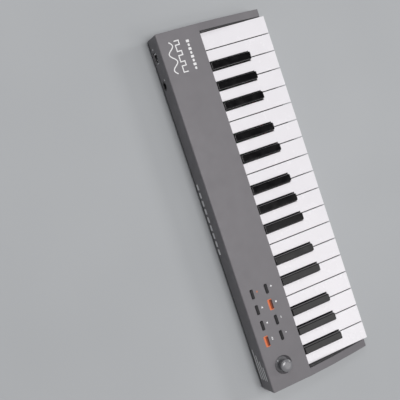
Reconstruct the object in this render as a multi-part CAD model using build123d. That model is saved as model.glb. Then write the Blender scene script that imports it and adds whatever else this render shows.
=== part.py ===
# A thirty-two-key mini synthesizer keyboard: nineteen white and thirteen black mini keys from F to C,
# eight backlit transport buttons, a two-axis joystick, a USB type B socket and a pedal jack.
# Frame: +X to the player's right, +Y to the rear panel, +Z up, origin on the ground under the middle.
from build123d import *

import os
from math import cos, radians

# ---------------------------------------------------------------- driving dimensions, millimetres

LENGTH = 390.0            # overall, along X
DEPTH = 129.6             # overall, along Y
DECK_TOP = 30.0           # height of the flat control deck above the ground
DECK_DEPTH = 48.4         # rear panel to the deck's front edge
WALL = 2.2                # moulded wall of both covers

FOOT_HEIGHT = 1.5         # what the rubber feet stand out of the bottom cover
FLOOR_TOP = 3.3           # inside face of the bottom cover's floor
SEAM = 5.1                # height of the joint between the two covers
SEAM_GAP = 0.2            # the shadow gap at that joint

WHITE_COUNT = 19
WHITE_PITCH = 19.6        # mini keys: a full-size white key is 23.5
KEY_GAP = 0.9             # between neighbouring white keys
WHITE_TOP = 21.5          # playing surface of the white keys
WHITE_SKIRT = 10.5        # lower edge of a white key's skirt
BLACK_TOP = 27.0
BLACK_NECK_TOP = 24.0     # the low rear part that runs under the deck
BLACK_SKIRT = 11.5
BLACK_WIDTH = 9.3         # at the base
BLACK_TAPER = 0.85        # by which each side leans in towards the top
BLACK_LENGTH = 49.7       # from the nose to the deck's front edge
BLACK_SETBACK = 2.2       # from the high part to the deck's front edge
BLACK_CLEARANCE = 0.75    # from a black key to the white keys beside it
BLACK_SHIFT = {"c_sharp": -2.3, "d_sharp": 1.2, "f_sharp": -2.7, "g_sharp": -0.3, "a_sharp": 2.0}

PIVOT_Y = 25.0            # the steel rod that all keys turn on
PIVOT_Z = 15.0
ROD_RADIUS = 1.0
ROD_RUNNING = 0.08        # radial clearance of a key on the rod
ROD_SEAT = 0.02           # and of the rod in the frame's ribs

BUTTON_LENGTH = 10.0
BUTTON_WIDTH = 3.0
BUTTON_PITCH_X = 17.3
BUTTON_FIRST_X = -89.5
BUTTON_ROWS_Y = {"rear": 52.6, "front": 35.6}
BUTTON_COLUMNS = 4
BUTTON_PROUD = 0.9        # the cap stands this far out of the deck
BUTTON_TRAVEL = 0.8

STICK_X = -171.2          # joystick centre on the deck
STICK_Y = 43.9
STICK_PIVOT_Z = 17.0
DOME_RADIUS = 12.0        # the shroud that closes the opening as the stick tilts

USB_X = 173.7
JACK_X = 144.2
SOCKET_Z = 11.5           # centre height of both sockets
JACK_BORE = 3.25          # takes a 6.35 mm plug

# ---------------------------------------------------------------- worked out from those

HALF_LENGTH = LENGTH / 2
REAR = DEPTH / 2
FRONT = -DEPTH / 2
DECK_FRONT = REAR - DECK_DEPTH
DECK_UNDER = DECK_TOP - WALL
KEYS_HALF = WHITE_COUNT * WHITE_PITCH / 2
CHEEK_INSIDE = KEYS_HALF + 0.8       # leaves room for the key frame's end plates
COVER_FRONT = FRONT + 2.3            # the keys overhang both covers by this much
FLOOR_UNDER = FOOT_HEIGHT
BLACK_FRONT = DECK_FRONT - BLACK_LENGTH
FRAME_UNDER = FLOOR_TOP + 0.2
FRAME_TOP = FRAME_UNDER + 1.6
BOARD_THICKNESS = 1.6
CONTACT_TOP = FRAME_TOP + BOARD_THICKNESS
KEY_WALL = 1.4
KEY_ROOF = 1.8                       # thickness of a key's top
ACTUATOR_Y = -8.0                    # each key presses its rubber dome here
ACTUATOR_TIP = 10.3
SPRING_Y = 3.0                       # and rests on its spring finger here
KEY_REAR = 19.0                      # rear end of the shell part of a key
TAIL_REAR = 29.5
TAIL_SPAN = (11.0, 19.0)             # heights of a tail's underside and top
WHITE_TAIL = 4.0                     # half the width of a white key's tail
BLACK_TAIL = 3.0
CONTROL_TOP = 19.0                   # upper face of the button board
MAIN_TOP = 5.8                       # upper face of the main board


# ---------------------------------------------------------------- shapes used all over

def block(x_range, y_range, z_range):
    """A box between the given limits."""
    lows, highs = zip(x_range, y_range, z_range)
    size = [high - low for low, high in zip(lows, highs)]
    middle = [(low + high) / 2 for low, high in zip(lows, highs)]
    return Pos(*middle) * Box(*size)


def post(x, y, z_range, radius):
    """An upright cylinder."""
    low, high = z_range
    return Pos(x, y, (low + high) / 2) * Cylinder(radius, high - low)


def rod_along_x(x_range, y, z, radius):
    low, high = x_range
    return Pos((low + high) / 2, y, z) * Rot(0, 90, 0) * Cylinder(radius, high - low)


def rod_along_y(x, y_range, z, radius):
    low, high = y_range
    return Pos(x, (low + high) / 2, z) * Rot(90, 0, 0) * Cylinder(radius, high - low)


def along_x(side_view, x_range):
    """A side view of (y, z) corners, carried along X."""
    low, high = x_range
    return extrude(Plane.YZ.offset(low) * Polygon(*side_view, align=None), amount=high - low)


def upright(plan, z_range):
    """A plan of (x, y) corners, carried up Z."""
    low, high = z_range
    return extrude(Plane.XY.offset(low) * Polygon(*plan, align=None), amount=high - low)


def pill(x, y, length, width, z_range):
    """An upright bar with rounded ends, long side along X."""
    low, high = z_range
    face = Plane.XY.offset(low) * Pos(x, y) * RectangleRounded(length, width, width * 0.3)
    return extrude(face, amount=high - low)


def group(solids):
    """Separate solids that share one node."""
    return Compound(children=list(solids))


def save(node, shape):
    export_step(shape, os.path.join("parts", node + ".step"))


# ---------------------------------------------------------------- the keys' plan

NOTES = ["f", "f_sharp", "g", "g_sharp", "a", "a_sharp", "b", "c", "c_sharp", "d", "d_sharp", "e"]
KEY_COUNT = 32


def lay_out_keys():
    """Every key from left to right: its node name, colour, and the limits of its front and rear parts."""
    keys = []
    boundary = -KEYS_HALF
    for number in range(KEY_COUNT):
        note = NOTES[number % len(NOTES)]
        if note in BLACK_SHIFT:
            middle = boundary + BLACK_SHIFT[note]
            name = f"key_{number + 1:02d}_black_{note}"
            rear = (middle - BLACK_WIDTH / 2, middle + BLACK_WIDTH / 2)
            keys.append({"name": name, "black": True, "rear": rear})
        else:
            name = f"key_{number + 1:02d}_white_{note}"
            front = (boundary + KEY_GAP / 2, boundary + WHITE_PITCH - KEY_GAP / 2)
            keys.append({"name": name, "black": False, "front": front, "rear": front})
            boundary += WHITE_PITCH
    for left, right in zip(keys, keys[1:]):
        if right["black"]:
            left["rear"] = (left["rear"][0], right["rear"][0] - BLACK_CLEARANCE)
        if left["black"]:
            right["rear"] = (left["rear"][1] + BLACK_CLEARANCE, right["rear"][1])
    for key in keys:
        key["middle"] = sum(key["rear"]) / 2
        key["tail"] = BLACK_TAIL if key["black"] else WHITE_TAIL
    return keys


KEYS = lay_out_keys()
WHITE_KEYS = [key for key in KEYS if not key["black"]]
BLACK_KEYS = [key for key in KEYS if key["black"]]


def key_inside(key, ceiling):
    """What every key has under its top: the dome actuator, the spring seat and the bored tail."""
    middle, tail = key["middle"], key["tail"]
    rib = (middle - 2.2, middle + 2.2)
    actuator = block(rib, (ACTUATOR_Y - 2, ACTUATOR_Y + 2), (ACTUATOR_TIP, ceiling))
    spring_seat = block(rib, (SPRING_Y - 1.5, SPRING_Y + 1.5), (WHITE_SKIRT, ceiling))
    hub = block((middle - tail, middle + tail), (KEY_REAR - KEY_WALL, TAIL_REAR), TAIL_SPAN)
    return actuator + spring_seat + hub


def rod_bore():
    return rod_along_x((-HALF_LENGTH, HALF_LENGTH), PIVOT_Y, PIVOT_Z, ROD_RADIUS + ROD_RUNNING)


NOTCH_GAP = 0.8           # from a black key's nose to the notch in the white keys
WHITE_ROUND = 0.4         # rounding of a white key's top edges
WHITE_GUIDE_Y = (-54.5, -47.5)


def white_key(key):
    """An open-bottomed shell, notched beside black keys, with two ribs that straddle a guide post."""
    notch = BLACK_FRONT - NOTCH_GAP

    def outline(inset):
        left, right = key["front"][0] + inset, key["front"][1] - inset
        rear_left, rear_right = key["rear"][0] + inset, key["rear"][1] - inset
        step, front, rear = notch - inset, FRONT + inset, KEY_REAR - inset
        corners = [(left, front), (right, front)]
        corners += [(right, step), (rear_right, step)] if rear_right < right else []
        corners += [(rear_right, rear), (rear_left, rear)]
        corners += [(rear_left, step), (left, step)] if rear_left > left else []
        return corners

    ceiling = WHITE_TOP - KEY_ROOF
    shell = upright(outline(0), (WHITE_SKIRT, WHITE_TOP))
    shell = fillet(shell.faces().sort_by(Axis.Z)[-1].edges(), WHITE_ROUND)
    shell -= upright(outline(KEY_WALL), (WHITE_SKIRT, ceiling))
    middle = sum(key["front"]) / 2
    for side in (-1, 1):
        near, far = sorted((middle + side * 3.0, middle + side * 4.2))
        shell += block((near, far), WHITE_GUIDE_Y, (11.0, ceiling + 0.2))
    return shell + key_inside(key, ceiling + 0.2) - rod_bore()


NOSE_RUN = 2.6            # how far the sloping nose leans back
NOSE_ROUND = 1.3          # rounding of the nose's upright corners
BLACK_ROUND = 0.7         # rounding of a black key's top edges


def black_key(key):
    """A tapered shell with a sloping nose, high in front of the deck and low where it runs under it."""
    middle = key["middle"]
    base, top = BLACK_WIDTH / 2, BLACK_WIDTH / 2 - BLACK_TAPER
    shoulder = WHITE_TOP - 1.0
    high_rear = DECK_FRONT - BLACK_SETBACK
    section = [
        (middle - base, BLACK_SKIRT), (middle + base, BLACK_SKIRT), (middle + base, shoulder),
        (middle + top, BLACK_TOP), (middle - top, BLACK_TOP), (middle - base, shoulder),
    ]
    face = Plane.XZ.offset(-high_rear) * Polygon(*section, align=None)
    high = extrude(face, amount=high_rear - BLACK_FRONT)
    nose = [
        (BLACK_FRONT - 1, BLACK_TOP + 1), (BLACK_FRONT + NOSE_RUN + 1, BLACK_TOP + 1),
        (BLACK_FRONT + NOSE_RUN, BLACK_TOP), (BLACK_FRONT, shoulder), (BLACK_FRONT - 1, shoulder),
    ]
    high -= along_x(nose, (middle - BLACK_WIDTH, middle + BLACK_WIDTH))
    corners = [
        edge for edge in high.edges()
        if edge.center().Y < BLACK_FRONT + 3 and abs(edge.tangent_at(0.5).Z) > 0.5
    ]
    high = fillet(corners, NOSE_ROUND)
    high = fillet(high.faces().sort_by(Axis.Z)[-1].edges(), BLACK_ROUND)
    neck = block((middle - top, middle + top), (high_rear - 1, KEY_REAR), (BLACK_SKIRT, BLACK_NECK_TOP))
    room = block(
        (middle - base + KEY_WALL, middle + base - KEY_WALL),
        (BLACK_FRONT + 4.2, high_rear - KEY_WALL), (BLACK_SKIRT, BLACK_TOP - 2.0),
    )
    neck_room = block(
        (middle - top + KEY_WALL, middle + top - KEY_WALL),
        (high_rear - KEY_WALL - 1, KEY_REAR - KEY_WALL), (BLACK_SKIRT, BLACK_NECK_TOP - 1.6),
    )
    return high + neck - room - neck_room + key_inside(key, BLACK_TOP - KEY_ROOF) - rod_bore()


# ---------------------------------------------------------------- top cover

CHEEK_FRONT_TOP = 18.6    # height of the cheeks at their front ends
CHEEK_SLOPE = [(DECK_FRONT, DECK_TOP), (-12.0, 27.4), (-42.0, 22.6), (COVER_FRONT, CHEEK_FRONT_TOP)]
CHEEK_ROUND = 3.0         # rounding of the cheeks' front ends
DECK_ROUND = 1.6          # rounding of the deck's rear edge and corners
COVER_UNDER = SEAM + SEAM_GAP / 2
CHEEK_POST_Y = -50.0
DISH_TOP_RADIUS = 10.0
DISH_THROAT_RADIUS = 8.2
DISH_UNDER = 26.4

# where the deck's screw posts stand, clear of the boards, the joystick and the sockets
DECK_POSTS = [(-155.4, 57.0), (-60.0, 56.0), (0.0, 56.0), (60.0, 56.0), (110.0, 56.0), (187.8, 56.0)]
BOARD_POSTS = [(-80.8, 44.1), (-115.4, 44.1), (-150.0, 44.1)]
CHEEK_POSTS = [(-190.3, CHEEK_POST_Y), (190.3, CHEEK_POST_Y)]
FRAME_BOSSES_X = [WHITE_KEYS[n]["middle"] for n in (1, 5, 9, 13, 17)]
FRAME_BOSS_ROWS = (-40.0, 34.0)
SCREW_RADIUS = 1.2
SCREW_DEPTH = 12.0        # height that the screws' pilot holes reach
BOSS_RADIUS = 2.6         # of the posts that take the screws
HEAD_RADIUS = 2.2
HEAD_HEIGHT = 0.9


def button_places():
    """(node name, x, y) of every button."""
    return [
        (f"button_{row}_{column + 1}", BUTTON_FIRST_X - column * BUTTON_PITCH_X, y)
        for row, y in BUTTON_ROWS_Y.items()
        for column in range(BUTTON_COLUMNS)
    ]


def top_cover():
    """The deck, the rear and end walls, and the two cheeks that slope down beside the keys."""
    rear_line = [(REAR, COVER_UNDER), (REAR, DECK_TOP)]
    front_line = [(COVER_FRONT, COVER_UNDER)]
    whole = along_x(rear_line + CHEEK_SLOPE + front_line, (-HALF_LENGTH, HALF_LENGTH))
    front_edge = whole.edges().filter_by(Axis.X).group_by(Axis.Y)[0].sort_by(Axis.Z)[-1:]
    whole = fillet(front_edge, CHEEK_ROUND)
    long_rear_edge = whole.edges().filter_by(Axis.X).group_by(Axis.Y)[-1].sort_by(Axis.Z)[-1:]
    rear_corners = whole.edges().filter_by(Axis.Z).group_by(Axis.Y)[-1]
    whole = fillet(list(rear_corners) + list(long_rear_edge), DECK_ROUND)
    whole -= block((-CHEEK_INSIDE, CHEEK_INSIDE), (FRONT - 5, DECK_FRONT), (0, DECK_TOP + 1))

    deck_room = block(
        (-HALF_LENGTH + WALL, HALF_LENGTH - WALL), (DECK_FRONT + WALL, REAR - WALL), (0, DECK_UNDER),
    )
    key_mouth = block(
        (-CHEEK_INSIDE, CHEEK_INSIDE), (DECK_FRONT - 1, DECK_FRONT + WALL + 1), (0, DECK_UNDER),
    )
    whole -= deck_room + key_mouth
    inside_slope = [(y, z - WALL) for y, z in CHEEK_SLOPE[:-1]]
    inside_slope += [(COVER_FRONT + WALL + 1, CHEEK_FRONT_TOP - WALL)]
    cheek_room = [(DECK_FRONT + 6, 0), (DECK_FRONT + 6, DECK_UNDER)] + inside_slope
    cheek_room += [(COVER_FRONT + WALL, 14.0), (COVER_FRONT + WALL, 0)]
    for side in (-1, 1):
        span = sorted((side * (CHEEK_INSIDE + 1.8), side * (HALF_LENGTH - WALL)))
        whole -= along_x(cheek_room, span)

    for x, y in DECK_POSTS:
        whole += post(x, y, (FRAME_UNDER, DECK_UNDER + 0.5), BOSS_RADIUS)
        whole -= post(x, y, (0, SCREW_DEPTH), SCREW_RADIUS)
    for x, y in BOARD_POSTS:
        whole += post(x, y, (CONTROL_TOP, DECK_UNDER + 0.5), 2.5)
        whole -= post(x, y, (0, DECK_UNDER - 2.0), SCREW_RADIUS)
    for x, y in CHEEK_POSTS:
        whole += block((x - 2.2, x + 2.2), (y - 4, y + 4), (FRAME_UNDER, 19.0))
        whole -= post(x, y, (0, SCREW_DEPTH), SCREW_RADIUS)

    for _, x, y in button_places():
        whole -= pill(x, y, BUTTON_LENGTH + 0.5, BUTTON_WIDTH + 0.5, (DECK_UNDER - 1, DECK_TOP + 1))
    whole += post(STICK_X, STICK_Y, (DISH_UNDER, DECK_UNDER + 0.5), DISH_TOP_RADIUS + 2)
    dish = Pos(STICK_X, STICK_Y, (DISH_UNDER + DECK_TOP) / 2)
    dish *= Cone(DISH_THROAT_RADIUS, DISH_TOP_RADIUS, DECK_TOP - DISH_UNDER)
    whole -= dish

    mouth = (REAR - WALL - 1, REAR + 1)
    whole -= block((USB_X - 6.2, USB_X + 6.2), mouth, (SOCKET_Z - 5.7, SOCKET_Z + 5.7))
    whole -= rod_along_y(JACK_X, mouth, SOCKET_Z, 5.2)
    return whole


# ---------------------------------------------------------------- bottom cover and feet

FEET = [(-176.0, -48.0), (176.0, -48.0), (-176.0, 50.0), (176.0, 50.0)]
FOOT_RADIUS = 5.0
FOOT_SUNK = 0.5
BOARD_PILLARS = [(124.0, 46.0), (158.0, 42.0), (182.0, 42.0)]    # these carry the main board


def screws_from_below():
    """Every place where a screw comes up through the bottom cover."""
    frame = [(x, y) for x in FRAME_BOSSES_X for y in FRAME_BOSS_ROWS]
    return DECK_POSTS + CHEEK_POSTS + frame


def bottom_cover():
    """A shallow tray with a chamfered underside, screw bosses and foot recesses."""
    tray = block((-HALF_LENGTH, HALF_LENGTH), (COVER_FRONT, REAR), (FLOOR_UNDER, SEAM - SEAM_GAP / 2))
    tray = fillet(tray.edges().filter_by(Axis.Z), 3.0)
    tray = chamfer(tray.faces().sort_by(Axis.Z)[0].edges(), 1.6)
    tray -= block(
        (-HALF_LENGTH + WALL, HALF_LENGTH - WALL), (COVER_FRONT + WALL, REAR - WALL), (FLOOR_TOP, DECK_TOP),
    )
    for x, y in screws_from_below():
        tray += post(x, y, (FLOOR_TOP - 0.5, FRAME_UNDER), BOSS_RADIUS)
        tray -= post(x, y, (0, DECK_TOP), SCREW_RADIUS + 0.15)
        tray -= post(x, y, (0, FLOOR_UNDER + HEAD_HEIGHT), HEAD_RADIUS + 0.3)
    for x, y in BOARD_PILLARS:
        tray += post(x, y, (FLOOR_TOP - 0.5, MAIN_TOP - BOARD_THICKNESS), BOSS_RADIUS)
    for x, y in FEET:
        tray -= post(x, y, (0, FLOOR_UNDER + FOOT_SUNK), FOOT_RADIUS + 0.2)
    return tray


def rubber_feet():
    feet = [post(x, y, (0, FLOOR_UNDER + FOOT_SUNK), FOOT_RADIUS) for x, y in FEET]
    return group(fillet(foot.faces().sort_by(Axis.Z)[0].edges(), 0.5) for foot in feet)


def case_screws():
    """Self-tapping screws: through the bottom cover, and up through the button board."""
    def screw(x, y, under, length):
        head = post(x, y, (under, under + HEAD_HEIGHT), HEAD_RADIUS)
        head -= block((x - 1.5, x + 1.5), (y - 0.3, y + 0.3), (under, under + 0.5))
        head -= block((x - 0.3, x + 0.3), (y - 1.5, y + 1.5), (under, under + 0.5))
        return head + post(x, y, (under + HEAD_HEIGHT - 0.1, under + length), SCREW_RADIUS - 0.02)

    from_below = [screw(x, y, FLOOR_UNDER, 7.2) for x, y in screws_from_below()]
    board_under = CONTROL_TOP - BOARD_THICKNESS
    into_boards = [screw(x, y, board_under - HEAD_HEIGHT, 7.0) for x, y in BOARD_POSTS]
    return group(from_below + into_boards)


# ---------------------------------------------------------------- key frame, rod, springs and felt

FRAME_FRONT = -60.0
FRAME_HALF = 184.6
PLATE_INSIDE = KEYS_HALF - 0.1       # the end plates stand between the end keys and the cheeks
PLATE_OUTSIDE = KEYS_HALF + 0.6
PLATE_DROP = 0.5                     # and stop this far below the cheeks' tops
RIB_HALF = 0.8
MID_RAIL = (-31.5, -26.5)
CONTACT_LEAD_X = (KEYS[-1]["middle"] + 1.8, KEYS[-1]["middle"] + 4.0)
FELT_TOP = 7.65
RIB_REACH = 2.2                      # from an end key's tail to the middle of the outermost rib
RIB_REAR = 30.5
WINDOW_HALF = 15.0
WINDOW_ROWS = [(-46.0, -43.5), (-37.0, -33.0), (-16.0, 4.5)]


def rib_places():
    """The middle of the gap between each two tails, and one rib outside each end."""
    edges = [(key["middle"] - key["tail"], key["middle"] + key["tail"]) for key in KEYS]
    inner = [(left[1] + right[0]) / 2 for left, right in zip(edges, edges[1:])]
    return [edges[0][0] - RIB_REACH] + inner + [edges[-1][1] + RIB_REACH]


def key_frame():
    """A ladder plate with guide posts, a stop rail, ribs for the rod, and a plate inside each cheek."""
    frame = block((-FRAME_HALF, FRAME_HALF), (FRAME_FRONT, RIB_REAR), (FRAME_UNDER, FRAME_TOP))
    for n in range(-4, 5):
        middle = n * 2 * WHITE_PITCH
        for row in WINDOW_ROWS:
            frame -= block((middle - WINDOW_HALF, middle + WINDOW_HALF), row, (0, FRAME_TOP + 1))
    frame += block((-FRAME_HALF, FRAME_HALF), MID_RAIL, (FRAME_UNDER, FELT_TOP - 1.0))
    for key in WHITE_KEYS:
        middle = sum(key["front"]) / 2
        frame += block((middle - 2.5, middle + 2.5), (-53.5, -48.5), (FRAME_UNDER, 14.5))
    for key in BLACK_KEYS:
        frame += block((key["middle"] - 2.7, key["middle"] + 2.7), (-25.0, -21.0), (FRAME_UNDER, 16.0))
    for x in rib_places():
        frame += block((x - RIB_HALF, x + RIB_HALF), (19.6, RIB_REAR), (FRAME_UNDER, 18.5))
    frame += block((rib_places()[0], rib_places()[-1]), (27.6, RIB_REAR), (FRAME_UNDER, 9.8))
    for x in FRAME_BOSSES_X:
        frame += block((x - 3.5, x + 3.5), (30.0, FRAME_BOSS_ROWS[1] + 3.0), (FRAME_UNDER, FRAME_TOP))
        for y in FRAME_BOSS_ROWS:
            frame += post(x, y, (FRAME_UNDER, 9.6), 2.5)
            frame -= post(x, y, (0, 9.0), SCREW_RADIUS)
    plate_view = [(y, z - PLATE_DROP) for y, z in CHEEK_SLOPE]
    plate_view = [(DECK_FRONT, FRAME_UNDER)] + plate_view + [(COVER_FRONT, FRAME_UNDER)]
    for side in (-1, 1):
        frame += along_x(plate_view, sorted((side * PLATE_INSIDE, side * PLATE_OUTSIDE)))
        joint = sorted((side * (FRAME_HALF - 1), side * PLATE_OUTSIDE))
        frame += block(joint, (FRAME_FRONT, 12.0), (FRAME_UNDER, FRAME_TOP))
    frame -= block((-HALF_LENGTH, HALF_LENGTH), (FRONT, FRAME_FRONT), (0, DECK_TOP))
    frame -= block(CONTACT_LEAD_X, (27.0, 31.0), (CONTACT_TOP - 0.2, CONTACT_TOP + 0.8))
    frame -= rod_along_x((-HALF_LENGTH, HALF_LENGTH), PIVOT_Y, PIVOT_Z, ROD_RADIUS + ROD_SEAT)
    return frame


def key_pivot_rod():
    ends = (rib_places()[0] - RIB_HALF, rib_places()[-1] + RIB_HALF)
    return rod_along_x(ends, PIVOT_Y, PIVOT_Z, ROD_RADIUS)


def key_spring_comb():
    """One strip of spring steel with a bent finger under each key."""
    thick, tip = 0.3, WHITE_SKIRT - 0.05
    strip = block((-FRAME_HALF + 2, FRAME_HALF - 2), (11.5, 17.0), (FRAME_TOP, FRAME_TOP + thick))
    low, high = FRAME_TOP, FRAME_TOP + thick
    finger = [
        (12.5, low), (12.5, high), (11.0, high), (SPRING_Y + 0.8, tip), (SPRING_Y - 1.2, tip),
        (SPRING_Y - 1.2, tip - thick), (SPRING_Y + 0.6, tip - thick), (10.8, low),
    ]
    for key in KEYS:
        strip += along_x(finger, (key["middle"] - 1.5, key["middle"] + 1.5))
    return strip


def key_stop_felt():
    """Felt under the keys at the end of their travel, and under their tails at rest."""
    down = block((-FRAME_HALF + 1, FRAME_HALF - 1), MID_RAIL, (FELT_TOP - 1.0, FELT_TOP))
    up = block((rib_places()[0] + 1, rib_places()[-1] - 1), (27.8, 30.3), (9.8, 10.9))
    for x in rib_places()[1:-1]:
        up -= block((x - RIB_HALF - 0.1, x + RIB_HALF + 0.1), (27, 31), (9, 12))
    return group([down, *up.solids()])


# ---------------------------------------------------------------- key contacts and boards

STRIP_THICKNESS = 0.8
DOME_HEIGHT = 2.6
DOME_HOLLOW = 2.4


def contact_rubber():
    """Silicone strips, each with a hollow dome under every key of its octave."""
    octaves = [KEYS[0:12], KEYS[12:24], KEYS[24:32]]
    strip_top = CONTACT_TOP + STRIP_THICKNESS
    strips = []
    for keys in octaves:
        ends = (keys[0]["middle"] - 4.6, keys[-1]["middle"] + 4.6)
        strip = block(ends, (ACTUATOR_Y - 6, ACTUATOR_Y + 6), (CONTACT_TOP, strip_top))
        for key in keys:
            x = key["middle"]
            strip += Pos(x, ACTUATOR_Y, strip_top + DOME_HEIGHT / 2) * Cone(3.1, 1.9, DOME_HEIGHT)
            strip -= Pos(x, ACTUATOR_Y, CONTACT_TOP + DOME_HOLLOW / 2) * Cone(2.4, 1.3, DOME_HOLLOW)
        strips.append(strip)
    return group(strips)


def contact_board():
    board = block((-FRAME_HALF + 1, FRAME_HALF - 1), (-19.0, 8.5), (FRAME_TOP, CONTACT_TOP))
    for n in range(-4, 5):
        board -= post(n * 2 * WHITE_PITCH, 6.2, (0, DECK_TOP), 1.3)
    return board


CONTROL_UNDER = CONTROL_TOP - BOARD_THICKNESS
STICK_BOARD_TOP = STICK_PIVOT_Z - 5.0
CHIP_HEIGHT = 1.4


def control_boards():
    """The button board with its switches and lamps, and the small board under the joystick."""
    buttons = block((-152.6, -77.6), (31.8, 61.0), (CONTROL_UNDER, CONTROL_TOP))
    for x, y in BOARD_POSTS:
        buttons -= post(x, y, (0, DECK_TOP), SCREW_RADIUS + 0.1)
    solids = []
    for _, x, y in button_places():
        switch = block((x - 3, x + 3), (y - 3, y + 3), (CONTROL_TOP, CONTROL_TOP + 3.5))
        solids.append(switch - post(x, y, (CONTROL_TOP + 1.5, CONTROL_TOP + 4), 1.8))
        solids.append(block((x + 3.6, x + 5.6), (y - 0.6, y + 0.6), (CONTROL_TOP, CONTROL_TOP + 0.8)))
    stick_board = block(
        (STICK_X - 13, STICK_X + 13), (STICK_Y - 11, STICK_Y + 12),
        (STICK_BOARD_TOP - BOARD_THICKNESS, STICK_BOARD_TOP),
    )
    return group([buttons, *solids, stick_board])


def main_board():
    """The main board with its controller, its memory and two capacitors."""
    board = block((118.0, 184.0), (39.0, 61.0), (MAIN_TOP - BOARD_THICKNESS, MAIN_TOP))
    controller = block((152.0, 162.0), (44.0, 54.0), (MAIN_TOP, MAIN_TOP + CHIP_HEIGHT))
    memory = block((126.0, 131.0), (46.0, 50.0), (MAIN_TOP, MAIN_TOP + CHIP_HEIGHT))
    capacitors = [post(122.0 + 6.5 * n, 57.0, (MAIN_TOP, MAIN_TOP + 5.4), 2.5) for n in range(2)]
    return group([board, controller, memory, *capacitors])


def usb_socket():
    """A type B receptacle: a folded steel shell round a plastic block with a tongue."""
    mouth, back = REAR - 1.0, REAR - 17.0
    shell = block((USB_X - 6, USB_X + 6), (back, mouth), (MAIN_TOP, SOCKET_Z + 5.5))
    depth = 10.0
    opening_z = (SOCKET_Z - 4.0, SOCKET_Z + 4.0)
    opening = block((USB_X - 4.4, USB_X + 4.4), (mouth - depth, mouth + 1), opening_z)
    opening = chamfer(opening.edges().filter_by(Axis.Y).group_by(Axis.Z)[-1], 1.8)
    tongue_y = (mouth - depth - 0.5, mouth - 4.2)
    tongue = block((USB_X - 2.8, USB_X + 2.8), tongue_y, (SOCKET_Z - 1.6, SOCKET_Z + 1.6))
    return shell - opening + tongue


def pedal_jack():
    """A 6.35 mm jack: a moulded body on the board with a round barrel through the rear panel."""
    body = block((JACK_X - 6.5, JACK_X + 6.5), (REAR - 24.0, REAR - WALL - 0.4), (MAIN_TOP, SOCKET_Z + 5.8))
    barrel = rod_along_y(JACK_X, (REAR - WALL - 1.0, REAR - 0.3), SOCKET_Z, 5.0)
    return body + barrel - rod_along_y(JACK_X, (REAR - 21.0, REAR + 1), SOCKET_Z, JACK_BORE)


def ribbon_cables():
    """Flat leads: button board to main board, joystick to button board, and contacts to main board."""
    under = CONTROL_UNDER
    thick = 0.6
    contact_thick = 0.3

    def lead(side_view, y_range):
        face = Plane.XZ.offset(-y_range[1]) * Polygon(*side_view, align=None)
        return extrude(face, amount=y_range[1] - y_range[0])

    floor = FLOOR_TOP + 0.1
    long_lead = lead([
        (-90.0, under), (-90.0, floor), (113.0, floor), (117.4, MAIN_TOP), (123.0, MAIN_TOP),
        (123.0, MAIN_TOP + thick), (117.0, MAIN_TOP + thick), (112.6, floor + thick),
        (-90.0 + thick, floor + thick), (-90.0 + thick, under),
    ], (39.5, 44.5))
    stick_top = STICK_BOARD_TOP
    stick_lead = lead([
        (-161.0, stick_top), (-156.0, stick_top), (-156.0, under - thick), (-150.0, under - thick),
        (-150.0, under), (-156.0 - thick, under), (-156.0 - thick, stick_top + thick),
        (-161.0, stick_top + thick),
    ], (47.0, 53.0))
    contact_lead = along_x([
        (6.5, CONTACT_TOP), (40.0, CONTACT_TOP), (40.0, MAIN_TOP), (42.0, MAIN_TOP),
        (42.0, MAIN_TOP + contact_thick), (40.0 + contact_thick, MAIN_TOP + contact_thick),
        (40.0 + contact_thick, CONTACT_TOP + contact_thick), (6.5, CONTACT_TOP + contact_thick),
    ], (CONTACT_LEAD_X[0] + 0.1, CONTACT_LEAD_X[1] - 0.1))
    return group([long_lead, stick_lead, contact_lead])


# ---------------------------------------------------------------- buttons and joystick

def button(x, y):
    """A translucent cap, a flange that holds it under the deck, and the post that works the switch."""
    cap = pill(x, y, BUTTON_LENGTH, BUTTON_WIDTH, (DECK_UNDER - 0.6, DECK_TOP + BUTTON_PROUD))
    cap = fillet(cap.faces().sort_by(Axis.Z)[-1].edges(), 0.35)
    flange = pill(x, y, BUTTON_LENGTH + 2.4, BUTTON_WIDTH + 2.4, (DECK_UNDER - 1.2, DECK_UNDER - 0.15))
    return cap + flange + post(x, y, (CONTROL_TOP + 2.9, DECK_UNDER - 1), 1.5)


HOUSING_HALF = 6.0
HOUSING_WALL = 0.8
SENSOR_OUT = 8.8          # outer face of the rotary sensors, from the pivot
PIVOT_PIN = 1.0           # radius of the yoke's and the bail's pins
SHAFT_RADIUS = 1.4
SHROUD_SKIRT = 63.0       # how far down the shroud reaches, in degrees from its top
CAP_UNDER = 17.0          # the thumb cap's underside and top, above the pivot
CAP_TOP = 22.0
CAP_RADIUS = 6.8


def at_stick(shape):
    """Moves a shape made about the joystick's pivot to where the pivot is."""
    return Pos(STICK_X, STICK_Y, STICK_PIVOT_Z) * shape


def joystick_housing():
    """The steel can of the joystick, with its two rotary sensors on the sides."""
    inner = HOUSING_HALF - HOUSING_WALL
    can = block((-HOUSING_HALF, HOUSING_HALF), (-HOUSING_HALF, HOUSING_HALF), (-5.0, 6.0))
    can -= block((-inner, inner), (-inner, inner), (-4.2, 5.4))
    can -= post(0, 0, (5, 7), 4.5)
    can += block((-SENSOR_OUT, -HOUSING_HALF), (-4.2, 4.2), (-4.5, 2.5))
    can += block((-4.2, 4.2), (-SENSOR_OUT, -HOUSING_HALF), (-4.5, 2.5))
    can -= rod_along_x((-8.0, 8.0), 0, 0, PIVOT_PIN + 0.05)
    can -= rod_along_y(0, (-8.0, 8.0), 0, PIVOT_PIN + 0.05)
    return at_stick(can)


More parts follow.
